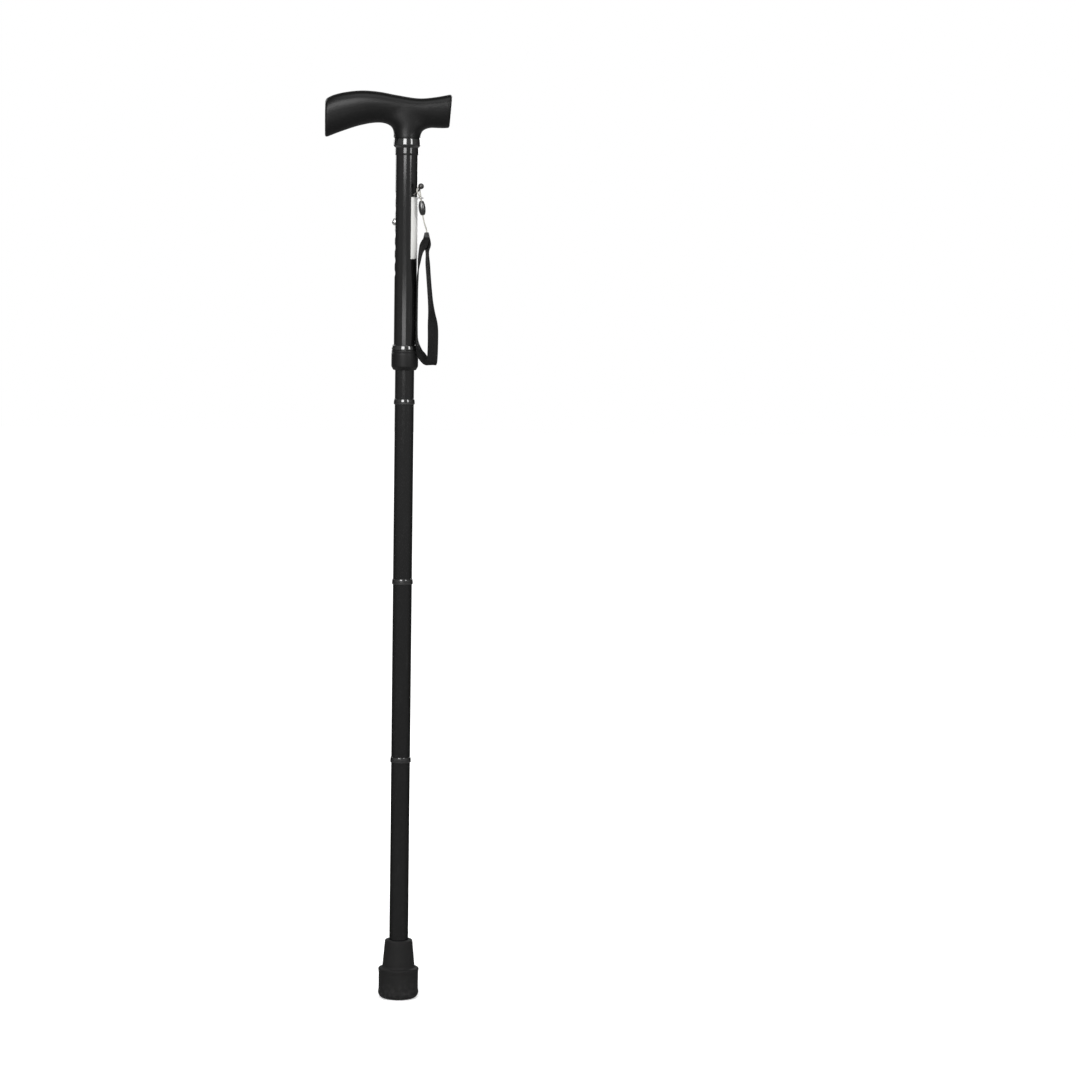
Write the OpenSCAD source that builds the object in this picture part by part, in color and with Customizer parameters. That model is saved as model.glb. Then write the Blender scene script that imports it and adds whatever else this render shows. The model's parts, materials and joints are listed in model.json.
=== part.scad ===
// Folding walking cane: handle, telescoping tubes, three corded fold joints, rubber tip and wrist strap.
// Millimetres, +Z up, origin on the floor at the middle of the tip's sole, nose of the handle towards -X.

/* [Sections] */
// Length of a folding section, joint to joint
section_len = 180; // [160:1:210]
// Height of the lowest joint above the floor
lowest_joint_h = 242.5; // [210:0.5:290]
// Length of inner tube that shows under the lock nut
inner_show = 32; // [31:1:60]
// Length from the foot of the lock nut to the foot of the handle
outer_span = 229.5; // [228:0.5:300]

/* [Tubes] */
// Outer diameter of the inner tube and the lower sections
inner_d = 19.05; // [18:0.05:22]
// Wall of the inner tube and the lower sections
inner_wall = 1.2; // [1:0.05:1.6]
// Gap between the inner tube and the bore of the outer tube
slide_gap = 0.375; // [0.3:0.025:0.6]
// Wall of the outer tube
outer_wall = 1.2; // [1:0.05:1.6]
// Length of the inner tube above the top joint
inner_len = 202; // [195:1:210]
// Depth of the outer tube in the handle
handle_socket = 20; // [12:1:24]
// Length of the moulded core in the top of the outer tube
insert_len = 38; // [24:1:40]

/* [Height adjustment] */
// Spacing of the height holes
hole_step = 12.7; // [10:0.1:13]
// Holes above the one in use
holes_above = 2; // [0:1:2]
// Holes below the one in use
holes_below = 4; // [0:1:4]
// Diameter of the snap button
button_d = 7; // [5:0.1:8]
// Height of the button's dome above the outer tube
button_proud = 3; // [2:0.1:3.4]
// Distance of the button below the top of the inner tube
button_drop = 23.5; // [16:0.5:30]
// Length of the snap spring below the button
spring_len = 40; // [30:1:46]
// Thickness of the snap spring
spring_t = 0.8; // [0.6:0.05:1]
// Width of the snap spring
spring_w = 6; // [4:0.1:6]

/* [Lock] */
// Height of the lock nut
nut_h = 20; // [17:0.5:26]
// Wall of the lock nut over its thread
nut_wall = 1.05; // [0.9:0.05:2]
// Wall of the bush on the outer tube
bush_wall = 0.9; // [0.8:0.05:1.5]
// Height of the bush's lip above the nut
lip_h = 4.5; // [3:0.1:6]
// Width of a slit between the bush's gripping fingers
slit_w = 1.2; // [0.8:0.1:2]

/* [Fold joints] */
// Height of the ring on the end of each upper tube
ring_h = 3.4; // [2.5:0.1:5]
// Wall of the joint rings
ring_wall = 0.9; // [0.7:0.05:1.3]
// Height of the flange on each joint plug
flange_h = 2.2; // [1.6:0.1:3]
// Length of a plug above its flange
plug_len = 16; // [12:0.5:16]
// Length of a plug in the tube below
plug_grip = 24; // [16:1:40]
// Diameter of the elastic cord
cord_d = 4; // [3:0.1:4.4]
// Length of elastic cord that runs free above a plug
link_len = 40; // [30:1:60]

/* [Tip] */
// Diameter of the tip's foot
foot_d = 40.8; // [37:0.1:46]
// Height of the tip's foot
foot_h = 31; // [24:0.5:34]
// Diameter of the tip above the foot
shoulder_d = 32.4; // [30:0.1:34]
// Diameter of the tip's mouth
mouth_d = 27.8; // [26:0.1:29]
// Height of the tip
tip_h = 59.5; // [52:0.5:66]
// Thickness of rubber under the tube
sole_t = 12.5; // [9:0.5:14]
// Thickness of the washer under the tube
washer_t = 1.5; // [1:0.1:2]

/* [Handle] */
// Length of the nose from the tube's axis
nose_len = 81; // [70:1:95]
// Length of the short end from the tube's axis
tail_len = 43; // [36:0.5:52]
// Height of the crown of the nose above the foot of the handle
crown_rise = 45.8; // [42:0.1:50]
// Height of the saddle above the foot of the handle
saddle_rise = 38.8; // [36:0.1:41]
// Height of the top of the short end above the foot of the handle
tail_rise = 43.4; // [41:0.1:47]
// Height of the top of the nose's end above the foot of the handle
nose_rise = 37; // [33:0.1:40]
// Height of the arch under the nose above the foot of the handle
arch_rise = 14.2; // [12:0.1:17]
// Height of the underside of the short end above the foot of the handle
tail_under = 9.7; // [8:0.1:12]
// Width of the handle at the palm
palm_w = 30; // [28:0.5:36]
// Width of the handle at its two ends
end_w = 26.5; // [22:0.5:30]
// Diameter of the handle's neck
neck_d = 26.7; // [25.5:0.1:29]
// Height of the collar under the neck
collar_h = 17; // [12:0.5:24]

/* [Strap] */
// Distance of the stud below the foot of the handle
stud_below = 55.8; // [54:0.1:64]
// Angle of the stud round the tube, from +X
stud_turn = -45; // [-60:5:-30]
// Diameter of the stud's boss
boss_d = 4; // [3.4:0.1:4.4]
// Height of the boss on the tube
boss_h = 2; // [1.6:0.1:3]
// Diameter of the stud's shank
shank_d = 1.5; // [1.2:0.1:1.6]
// Length of the shank from the boss to the middle of the ball
shank_len = 11.1; // [10:0.1:13]
// Rise of the shank
shank_tilt = 50; // [45:1:55]
// Diameter of the stud's ball
ball_d = 5.8; // [5:0.1:6.2]
// Diameter of the strap ring's wire
wire_d = 1.1; // [0.8:0.1:1.3]
// Diameter of the thin tether
tether_d = 1.4; // [1:0.1:1.5]
// Diameter of the bead
bead_d = 7; // [6:0.1:7.4]
// Length of the bead
bead_len = 14; // [10:0.5:15]
// Width of the webbing
web_w = 10.5; // [8:0.5:12]
// Thickness of the webbing
web_t = 1.2; // [0.8:0.1:1.4]

/* [Label] */
// Height of the bare label
label_h = 61; // [20:1:62]
// Angle that the label covers
label_angle = 130; // [40:5:140]
// Thickness of the label
label_t = 0.15; // [0.1:0.05:0.3]

/* [Hidden] */
$fn = 72;
eps = 0.01;
// Clearance between curved faces of pieces that move on each other
move_gap = 0.3;
// Clearance of a bush that runs in a bore
run_gap = 0.08;
// Clearance of a hole round a cord
cord_gap = 0.6;

// Radii
inner_r = inner_d / 2;
inner_bore = inner_r - inner_wall;
outer_bore = inner_r + slide_gap;
outer_r = outer_bore + outer_wall;
ring_r = inner_r + ring_wall;
bush_r = outer_r + bush_wall;
nut_r = bush_r + move_gap + nut_wall;
button_r = button_d / 2;
hole_r = button_r + move_gap;
cord_r = cord_d / 2;
neck_r = neck_d / 2;

// Heights: joint[0] is the top fold joint
joint = [lowest_joint_h + 2 * section_len, lowest_joint_h + section_len, lowest_joint_h];
nut_z = joint[0] + inner_show;
neck_z = nut_z + outer_span;
inner_top = joint[0] + inner_len;
button_z = inner_top - button_drop;
tube_top_z = neck_z + handle_socket;
nut_floor = 5;
bush_z = nut_z + nut_floor + move_gap;
finger_h = 4.5;
outer_z = bush_z + finger_h;
lip_z = nut_z + nut_h + move_gap;

// Shared solids

module tube(r, wall, z0, z1) {
    translate([0, 0, z0])
        difference() {
            cylinder(r = r, h = z1 - z0);
            translate([0, 0, -eps])
                cylinder(r = r - wall, h = z1 - z0 + 2 * eps);
        }
}

module rod(r, z0, z1) {
    translate([0, 0, z0])
        cylinder(r = r, h = z1 - z0);
}

// Arc of points round c from angle a0 to a1
function arc(c, r, a0, a1, n = 6) =
    [for (i = [0:n]) let (a = a0 + (a1 - a0) * i / n) [c[0] + r * cos(a), c[1] + r * sin(a)]];

// Smooth value at x on a curve through points that rise in x
function slope_at(p, i) =
    i == 0 ? (p[1][1] - p[0][1]) / (p[1][0] - p[0][0])
    : i == len(p) - 1 ? (p[i][1] - p[i - 1][1]) / (p[i][0] - p[i - 1][0])
    : (p[i + 1][1] - p[i - 1][1]) / (p[i + 1][0] - p[i - 1][0]);
function piece_at(p, x, i = 0) = i >= len(p) - 2 || x <= p[i + 1][0] ? i : piece_at(p, x, i + 1);
function curve_at(p, x) =
    let (i = piece_at(p, x), w = p[i + 1][0] - p[i][0], t = (x - p[i][0]) / w)
    (2 * t ^ 3 - 3 * t ^ 2 + 1) * p[i][1] + (t ^ 3 - 2 * t ^ 2 + t) * w * slope_at(p, i)
    + (3 * t ^ 2 - 2 * t ^ 3) * p[i + 1][1] + (t ^ 3 - t ^ 2) * w * slope_at(p, i + 1);

// Solid skinned over rings of points, each ring with the same count
module skin(rings) {
    n = len(rings[0]);
    m = len(rings);
    points = [for (ring = rings) each ring];
    sides = [for (i = [0:m - 2], j = [0:n - 1])
        let (a = i * n + j, b = i * n + (j + 1) % n, c = a + n, d = b + n)
        each [[a, c, b], [b, c, d]]];
    first = [for (j = [1:n - 2]) [0, j, j + 1]];
    last = [for (j = [1:n - 2]) [(m - 1) * n, (m - 1) * n + j + 1, (m - 1) * n + j]];
    polyhedron(points, concat(sides, first, last), convexity = 6);
}

// Handle

// Side outline of the bar: heights above the foot of the handle along X
bar_top = [
    [-nose_len, nose_rise],
    [-0.9 * nose_len, nose_rise + 0.46 * (crown_rise - nose_rise)],
    [-0.74 * nose_len, nose_rise + 0.82 * (crown_rise - nose_rise)],
    [-0.54 * nose_len, crown_rise],
    [-0.33 * nose_len, crown_rise - 0.17 * (crown_rise - saddle_rise)],
    [-0.13 * nose_len, crown_rise - 0.58 * (crown_rise - saddle_rise)],
    [0.26 * tail_len, saddle_rise],
    [0.62 * tail_len, saddle_rise + 0.3 * (tail_rise - saddle_rise)],
    [tail_len, tail_rise]];
nose_foot = -1;
bar_under = [
    [-nose_len, nose_foot],
    [-0.79 * nose_len, nose_foot + 0.44 * (arch_rise - nose_foot)],
    [-0.56 * nose_len, nose_foot + 0.84 * (arch_rise - nose_foot)],
    [-0.36 * nose_len, arch_rise],
    [0, 0.5 * (arch_rise + tail_under)],
    [0.5 * tail_len, tail_under],
    [tail_len, tail_under]];
bar_half = [
    [-nose_len, end_w / 2],
    [-0.55 * nose_len, palm_w / 2],
    [0, 0.25 * (palm_w + end_w)],
    [tail_len, end_w / 2]];
bar_squareness = 2.5;
bar_egg = 0.36;
bar_sides = 28;
bar_steps = 30;
end_round = 2.4;
tail_slant = 0.08;
end_turns = [0, 30, 60, 90];

function squared(a) = let (c = cos(a), s = sin(a))
    [sign(c) * abs(c) ^ (2 / bar_squareness), sign(s) * abs(s) ^ (2 / bar_squareness)];

// Width across the bar at angle a: widest above the middle, narrower underneath
function egg(a) = let (q = squared(a)) q[0] * (1 - bar_egg * (1 - q[1]) / 2);
egg_peak = max([for (a = [0:1:90]) egg(a)]);

// One ring of the bar at x, drawn in by inset for the rounded ends
function bar_ring(x, inset) =
    let (top = curve_at(bar_top, x) - inset, under = curve_at(bar_under, x) + inset,
         half = curve_at(bar_half, x) - inset, mid = (top + under) / 2,
         slant = tail_slant * max(0, x) / tail_len)
    [for (j = [0:bar_sides - 1])
        let (a = 360 * j / bar_sides, z = mid + squared(a)[1] * (top - under) / 2)
        [x + slant * (z - mid), half * egg(a) / egg_peak, neck_z + z]];

module bar() {
    nose_end = [for (a = end_turns) bar_ring(-nose_len + end_round * (1 - sin(a)), end_round * (1 - cos(a)))];
    tail_end = [for (a = end_turns) bar_ring(tail_len - end_round * (1 - sin(a)), end_round * (1 - cos(a)))];
    inner_ends = [-nose_len + end_round, tail_len - end_round];
    body = [for (i = [1:bar_steps - 1])
        bar_ring(inner_ends[0] + (inner_ends[1] - inner_ends[0]) * i / bar_steps, 0)];
    skin(concat([for (i = [len(nose_end) - 1:-1:0]) nose_end[i]], body, tail_end));
}

// Neck that flares into the underside of the bar
flare_nose = [12, 9];
flare_tail = [9.5, 7];
neck_top = 30;
neck_narrow = 3.2;
neck_steps = 14;
neck_crown = [18, 22, 26, neck_top];

// Reach of a flare of width and height size, that ends level at the height end
function flare(size, end, t) =
    let (u = min(1, max(0, (t - end + size[1]) / size[1]))) size[0] * (1 - sqrt(1 - u * u));

function neck_ring(t) =
    let (left = neck_r + flare(flare_nose, arch_rise, t), right = neck_r + flare(flare_tail, tail_under, t),
         half = neck_r - neck_narrow * (t / neck_top) ^ 2)
    [for (j = [0:bar_sides - 1])
        let (a = 360 * j / bar_sides)
        [(cos(a) > 0 ? right : left) * cos(a), half * sin(a), neck_z + t]];

module neck() {
    lower = [for (i = [0:neck_steps]) neck_ring(arch_rise * i / neck_steps)];
    skin(concat(lower, [for (t = neck_crown) neck_ring(t)]));
}

screw_r = 2.2;
screw_grip = 10;

module handle() {
    color([0.09, 0.09, 0.09])
        difference() {
            union() {
                bar();
                neck();
            }
            rod(outer_r, neck_z - 1, tube_top_z);
            rod(screw_r, tube_top_z - eps, tube_top_z + screw_grip);
        }
}

module handle_insert() {
    color([0.2, 0.2, 0.2])
        difference() {
            rod(outer_bore, tube_top_z - insert_len, tube_top_z);
            rod(screw_r, tube_top_z - insert_len - eps, tube_top_z + eps);
        }
}

screw_z = tube_top_z - insert_len;
screw_head_r = 4;
screw_head_h = 2.6;

module handle_screw() {
    color([0.7, 0.7, 0.7]) {
        rod(screw_r, screw_z, tube_top_z + screw_grip);
        difference() {
            rod(screw_head_r, screw_z - screw_head_h, screw_z);
            rod(screw_r, screw_z - screw_head_h - eps, screw_z - screw_head_h / 2);
        }
    }
}

// Collar: a straight band on top of a cone that runs down to the tube
collar_band = 6;
collar_round = 0.8;
collar_lip = 0.3;

module neck_collar() {
    z0 = neck_z - collar_h;
    z1 = neck_z - collar_band;
    color([0.04, 0.04, 0.04])
        rotate_extrude()
            polygon(concat(
                [[outer_r, z0], [outer_r + collar_lip, z0]],
                [[outer_r + 0.45 * (neck_r - outer_r), z0 + 0.5 * (z1 - z0)],
                 [outer_r + 0.84 * (neck_r - outer_r), z0 + 0.82 * (z1 - z0)], [neck_r, z1]],
                arc([neck_r - collar_round, neck_z - collar_round], collar_round, 0, 90),
                [[outer_r, neck_z]]));
}

// Outer tube and what it carries

module side_bore(r, x0, x1, z) {
    translate([x0, 0, z])
        rotate([0, 90, 0])
            cylinder(r = r, h = x1 - x0);
}

stud_r = 1.3;
stud_z = neck_z - stud_below;
shank_r = shank_d / 2;

module outer_tube() {
    color([0.03, 0.03, 0.03])
        difference() {
            tube(outer_r, outer_wall, outer_z, tube_top_z);
            for (i = [-holes_below:holes_above])
                side_bore(hole_r, -outer_r - 1, 0, button_z + i * hole_step);
            rotate([0, 0, stud_turn])
                side_bore(stud_r, 0, outer_r + 1, stud_z);
        }
}

bush_edge = 0.8;
lip_over = 0.2;
lip_round = 1;
finger_root = 0.5;

module lock_bush() {
    grip_r = inner_r + slide_gap;
    lip_r = bush_r + lip_over;
    lip_top = lip_z + lip_h;
    color([0.04, 0.04, 0.04])
        difference() {
            rotate_extrude()
                polygon(concat(
                    [[grip_r, bush_z], [bush_r - bush_edge, bush_z], [bush_r, bush_z + bush_edge]],
                    [[bush_r, lip_z], [lip_r, lip_z]],
                    arc([lip_r - lip_round, lip_top - lip_round], lip_round, 0, 90),
                    [[outer_r, lip_top], [outer_r, outer_z], [grip_r, outer_z]]));
            for (a = [0, 90])
                rotate([0, 0, a])
                    translate([-bush_r - 1, -slit_w / 2, bush_z - 1])
                        cube([2 * bush_r + 2, slit_w, finger_h - finger_root + 1]);
        }
}

label_gap = 0.3;
label_top = stud_z - boss_d / 2 - label_gap;

module label() {
    color([0.9, 0.9, 0.89])
        rotate([0, 0, -label_angle / 2])
            rotate_extrude(angle = label_angle)
                translate([outer_r, label_top - label_h])
                    square([label_t, label_h]);
}

// Stud: rivet in the tube, boss, rising shank and ball
rivet_gap = 0.1;
boss_edge = 0.4;

module strap_stud() {
    face = outer_r + boss_h;
    color([0.25, 0.24, 0.23])
        rotate([0, 0, stud_turn]) {
            side_bore(stud_r, outer_bore + rivet_gap, face, stud_z);
            difference() {
                translate([0, 0, stud_z])
                    rotate([0, 90, 0])
                        rotate_extrude()
                            polygon([[0, outer_bore], [boss_d / 2, outer_bore],
                                [boss_d / 2, face - boss_edge], [boss_d / 2 - boss_edge, face], [0, face]]);
                rod(outer_r, stud_z - boss_d, stud_z + boss_d);
            }
            translate([face, 0, stud_z])
                rotate([0, 90 - shank_tilt, 0])
                    translate([0, 0, -shank_r])
                        cylinder(r = shank_r, h = shank_len + shank_r);
            translate([face + shank_len * cos(shank_tilt), 0, stud_z + shank_len * sin(shank_tilt)])
                sphere(d = ball_d);
        }
}

cone_h = 3.6;
cone_in = 2.2;
nut_edge = 0.8;

module lock_nut() {
    thread_r = bush_r + move_gap;
    foot_r = inner_r + slide_gap;
    top = nut_z + nut_h;
    color([0.05, 0.05, 0.05])
        rotate_extrude()
            polygon(concat(
                [[foot_r, nut_z], [nut_r - cone_in, nut_z], [nut_r, nut_z + cone_h]],
                arc([nut_r - nut_edge, top - nut_edge], nut_edge, 0, 90),
                [[thread_r, top], [thread_r, nut_z + nut_floor], [foot_r, nut_z + nut_floor]]));
}

// Wrist strap

// Place on the shank that the strap hangs from, close under the ball
hang_gap = 2.6;
hang_at = shank_len - ball_d / 2 - hang_gap;
hang_r = outer_r + boss_h + hang_at * cos(shank_tilt);
strap_at = [hang_r * cos(stud_turn), hang_r * sin(stud_turn), stud_z + hang_at * sin(shank_tilt)];

// Small ring that gathers the two strands of the loop
ring_place = [2.2, 0.1, -7.4];
ring_sweep = 2.4;

module strap_ring() {
    color([0.6, 0.6, 0.6])
        translate(strap_at + ring_place)
            rotate_extrude()
                translate([ring_sweep, 0])
                    circle(d = wire_d, $fn = 24);
}

// Points on a smooth curve through a list, and the frames along it
function smooth(p, i, t) =
    let (n = len(p), a = p[max(0, i - 1)], b = p[i], c = p[min(n - 1, i + 1)], d = p[min(n - 1, i + 2)])
    0.5 * (2 * b + (c - a) * t + (2 * a - 5 * b + 4 * c - d) * t ^ 2 + (3 * b - a - 3 * c + d) * t ^ 3);
function route(p, steps) =
    concat([for (i = [0:len(p) - 2], k = [0:steps - 1]) smooth(p, i, k / steps)], [p[len(p) - 1]]);
function unit(v) = v / norm(v);
function along(p, i) = unit(p[min(len(p) - 1, i + 1)] - p[max(0, i - 1)]);
function across(hint, t) = unit(hint - (hint * t) * t);

// Tether from the place on the shank: up from the bead, over the shank, down through the bead to the webbing
tether_route = [
    [3.7, 0.75, -15], [3, 0.75, -10.5], [2.6, 0.8, -7.4], [2, 1.2, -4], [1.5, 1.4, -1.2], [1.25, 1.4, 1],
    [0.65, 0.85, 2.35], [-0.2, 0.2, 2.7], [-0.85, -0.65, 2.35], [-1.4, -1.25, 1], [-1.3, -1.35, -1.2],
    [0.1, -1.2, -4],
    [1.8, -0.8, -7.4], [2.8, -0.75, -10.5], [3.9, -0.7, -17], [4.6, -0.4, -24.2], [5.2, -0.2, -28],
    [6.6, 0.2, -33.5], [8, 1.4, -37.5], [8.4, 1.9, -39.5], [8.5, 2, -41.2]];
tether_sides = 8;

module strap_tether() {
    p = route(tether_route, 2);
    color([0.8, 0.78, 0.74])
        translate(strap_at)
            skin([for (i = [0:len(p) - 1])
                let (t = along(p, i), u = across([0.7, -0.7, 0.1], t), v = cross(t, u))
                [for (j = [0:tether_sides - 1])
                    let (a = 360 * j / tether_sides)
                    p[i] + tether_d / 2 * (cos(a) * u + sin(a) * v)]]);
}

// Bead on the tether
bead_place = [3.75, 0, -17.2];
bead_lean = -6.5;
bead_bore_gap = 1.2;
bead_arc = 60;

module strap_bead() {
    bore = tether_d / 2 + bead_bore_gap;
    bulge = (bead_d / 2 - bore) / (1 - cos(bead_arc));
    rise = bead_len / 2 / sin(bead_arc);
    color([0.05, 0.05, 0.05])
        translate(strap_at + bead_place)
            rotate([0, bead_lean, 0])
                rotate_extrude()
                    polygon(concat(
                        [[bore, -bead_len / 2]],
                        [for (a = [-bead_arc:12:bead_arc])
                            [bore + bulge * (cos(a) - cos(bead_arc)), rise * sin(a)]],
                        [[bore, bead_len / 2]]));
}

// Webbing from the place on the shank: place, and the direction of the band's width
web_route = [
    [[8.4, 1, -41.2], [1, 0, 0]], [[7.7, 0.9, -49], [1, 0.2, 0]], [[5.1, 0.8, -59], [0.6, 0.9, 0]],
    [[2.5, 1, -70], [0.1, 1, 0]], [[0.7, 1.5, -81], [0, 1, 0]], [[0.2, 2, -97], [0, 1, 0]],
    [[0.2, 2, -117], [0, 1, 0]], [[0.5, 2.5, -137], [0, 1, 0]], [[1.5, 3.2, -151], [0.1, 1, 0]],
    [[3.7, 3.6, -162], [0.3, 1, 0.3]], [[7.7, 3.2, -170], [0.4, 0.8, 0.6]],
    [[12.1, 1.4, -172], [0.3, 0.5, 0.8]], [[15.7, -0.8, -167], [0.9, 0.3, 0.5]],
    [[16.7, -2, -157], [1, 0, 0.1]], [[16.7, -2, -143], [1, 0.1, 0]], [[15.9, -1, -127], [0.9, 0.5, 0]],
    [[14.5, 0.4, -111], [0.4, 1, 0]], [[12.9, 1.6, -95], [0.1, 1, 0]], [[11.3, 2.4, -77], [0, 1, 0]],
    [[10.1, 2.9, -61], [0.4, 1, 0]], [[9.3, 3.1, -50], [1, 0.3, 0]], [[8.6, 3, -41.2], [1, 0, 0]]];
web_end_w = 4;
web_taper = 4;

module strap_webbing() {
    p = route([for (q = web_route) q[0]], 3);
    hint = route([for (q = web_route) q[1]], 3);
    last = len(p) - 1;
    color([0.06, 0.06, 0.06])
        translate(strap_at)
            skin([for (i = [0:last])
                let (t = along(p, i), u = across(hint[i], t), v = cross(t, u),
                     w = web_end_w + (web_w - web_end_w) * min(1, min(i, last - i) / web_taper))
                [for (c = [[-1, -1], [-1, 1], [1, 1], [1, -1]])
                    p[i] + c[0] * w / 2 * u + c[1] * web_t / 2 * v]]);
}

// Inner tube and the snap button

module inner_tube() {
    color([0.03, 0.03, 0.03])
        difference() {
            tube(inner_r, inner_wall, joint[0], inner_top);
            side_bore(hole_r, -inner_r - 1, 0, button_z);
        }
}

guide_flange = 3;
guide_depth = 6;

module guide_bush() {
    color([0.15, 0.15, 0.15]) {
        rod(inner_bore, inner_top - guide_depth, inner_top);
        rod(outer_bore - run_gap, inner_top, inner_top + guide_flange);
    }
}

button_flange = 1.2;
button_flange_gap = 0.25;
button_flange_r = button_r + button_flange;
button_flange_x = sqrt(inner_bore ^ 2 - button_flange_r ^ 2) - button_flange_gap;
button_flange_t = 1.2;

module snap_button() {
    tip = outer_r + button_proud;
    dome = 0.8 * button_r;
    back = button_flange_x - button_flange_t;
    color([0.75, 0.75, 0.74])
        translate([0, 0, button_z])
            rotate([0, -90, 0])
                rotate_extrude()
                    polygon(concat(
                        [[0, back], [button_flange_r, back]],
                        [[button_flange_r, button_flange_x], [button_r, button_flange_x]],
                        [for (a = [0:9:81]) [button_r * cos(a), tip - dome + dome * sin(a)]],
                        [[0, tip]]));
}

// Band of even thickness along a flat path
function side_of(p, i) = let (t = along(p, i)) [-t[1], t[0]];
function stroke(p, t) = concat(
    [for (i = [0:len(p) - 1]) p[i] + t / 2 * side_of(p, i)],
    [for (i = [len(p) - 1:-1:0]) p[i] - t / 2 * side_of(p, i)]);

spring_bend = 2;
spring_turn = [170, 370];
spring_seat = 0.2;
spring_over = 1;
spring_toe = [0.6, 2];

module snap_spring() {
    front = -button_flange_x + button_flange_t + spring_t / 2 + spring_seat;
    back = sqrt(inner_bore ^ 2 - (spring_w / 2) ^ 2) - spring_t / 2 - move_gap;
    bend = [0.1 * (front + back), -spring_len];
    path = concat([[front, button_r + spring_over], [front, -button_r - spring_over]],
        arc(bend, spring_bend, spring_turn[0], spring_turn[1], 10),
        [[back - spring_toe[0], button_r - spring_toe[1]], [back, button_r]]);
    color([0.7, 0.7, 0.68])
        translate([0, spring_w / 2, button_z])
            rotate([90, 0, 0])
                linear_extrude(spring_w)
                    polygon(stroke(path, spring_t));
}

// Elastic cord: anchors, knots and the runs in each section

anchor_h = 10;
knot_r = 4.4;
knot_h = 9;
knot_end_r = 0.7 * knot_r;
knot_arc = 40;
knot_gap = 1;
knot_rise = 61;
anchor_top_z = button_z - spring_len - spring_bend - spring_t - knot_gap - knot_h - anchor_h;
anchor_bottom_z = knot_rise + knot_h;

module anchor(z) {
    color([0.2, 0.2, 0.2])
        difference() {
            rod(inner_bore, z, z + anchor_h);
            rod(cord_r + cord_gap, z - eps, z + anchor_h + eps);
        }
}

module knot(z) {
    color([0.5, 0.48, 0.45])
        translate([0, 0, z])
            rotate_extrude()
                polygon(concat([[0, 0], [knot_end_r, 0]],
                    [for (a = [-knot_arc:10:knot_arc])
                        [knot_r * cos(a), knot_h / 2 * (1 + sin(a) / cos(knot_arc))]],
                    [[knot_end_r, knot_h], [0, knot_h]]));
}

module cord(z0, z1) {
    color([0.5, 0.48, 0.45])
        rod(cord_r, z0, z1);
}

link_gap = 0.3;
function link_foot(i) = joint[i] + plug_len + link_gap;
function link_top(i) = link_foot(i) + link_len;

module cord_anchor_top() { anchor(anchor_top_z); }
module cord_knot_top() { knot(anchor_top_z + anchor_h); }
module cord_1() { cord(link_top(0) + link_gap, anchor_top_z + anchor_h); }
module cord_2() { cord(link_top(1) + link_gap, joint[0] + plug_len); }
module cord_3() { cord(link_top(2) + link_gap, joint[1] + plug_len); }
module cord_4() { cord(anchor_bottom_z, joint[2] + plug_len); }
module cord_anchor_bottom() { anchor(anchor_bottom_z); }
module cord_knot_bottom() { knot(anchor_bottom_z - knot_h); }
module link_cord_1() { cord(link_foot(0), link_top(0)); }
module link_cord_2() { cord(link_foot(1), link_top(1)); }
module link_cord_3() { cord(link_foot(2), link_top(2)); }

// Fold joints

ring_edge = 0.75 * ring_wall;

module joint_ring(z) {
    color([0.05, 0.05, 0.05])
        rotate_extrude()
            polygon(concat(
                [[inner_r, z], [ring_r, z]],
                arc([ring_r - ring_edge, z + ring_h - ring_edge], ring_edge, 0, 90),
                [[inner_r, z + ring_h]]));
}

// Plug: flange, shank in the tube below, and a spigot whose flank follows the swing out of the tube above.
// The fold turns about a line beside the joint, fold_r from the axis and fold_rise above the joint.
fold_r = 16.5;
fold_rise = 3;
swing_gap = 0.35;
plug_steps = 10;

// Largest radius at height h that passes the far side and the near side of the bore
function far_r(h) = sqrt((fold_r + inner_bore) ^ 2 - (h - fold_rise) ^ 2) - fold_r;
function near_r(h) = h > 2 * fold_rise ? inner_bore
    : fold_r - sqrt((fold_r - inner_bore) ^ 2 + fold_rise ^ 2 - (h - fold_rise) ^ 2);
function plug_r(h) = min(far_r(h), near_r(h)) - swing_gap;

module joint_plug(z) {
    bore = inner_bore;
    hole = cord_r + cord_gap;
    color([0.12, 0.12, 0.12])
        rotate_extrude()
            polygon(concat(
                [[hole, z - flange_h - plug_grip], [bore, z - flange_h - plug_grip], [bore, z - flange_h]],
                arc([ring_r - ring_edge, z - flange_h + ring_edge], ring_edge, -90, 0),
                [[ring_r, z]],
                [for (i = [0:plug_steps]) let (h = plug_len * i / plug_steps) [plug_r(h), z + h]],
                [[hole, z + plug_len]]));
}

module section_tube(z0, z1) {
    color([0.03, 0.03, 0.03])
        tube(inner_r, inner_wall, z0, z1);
}

module joint_ring_1() { joint_ring(joint[0]); }
module joint_ring_2() { joint_ring(joint[1]); }
module joint_ring_3() { joint_ring(joint[2]); }
module joint_plug_1() { joint_plug(joint[0]); }
module joint_plug_2() { joint_plug(joint[1]); }
module joint_plug_3() { joint_plug(joint[2]); }
module tube_2() { section_tube(joint[1], joint[0] - flange_h); }
module tube_3() { section_tube(joint[2], joint[1] - flange_h); }
module tube_4() { section_tube(sole_t + washer_t, joint[2] - flange_h); }

// Rubber tip

module tip_washer() {
    color([0.7, 0.7, 0.7])
        rod(inner_r, sole_t, sole_t + washer_t);
}

foot_round = 6;
bead_round = 1.6;
bead_turn = 70;
foot_waist = 0.5;
waist_ends = [3.5, 4];
shoulder_fillet = [0.8, 1.4];
shoulder_step = 0.6;
mouth_round = 1.4;
groove_w = 1.6;
groove_depth = 1;
groove_r = [5, 9, 13];

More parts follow.
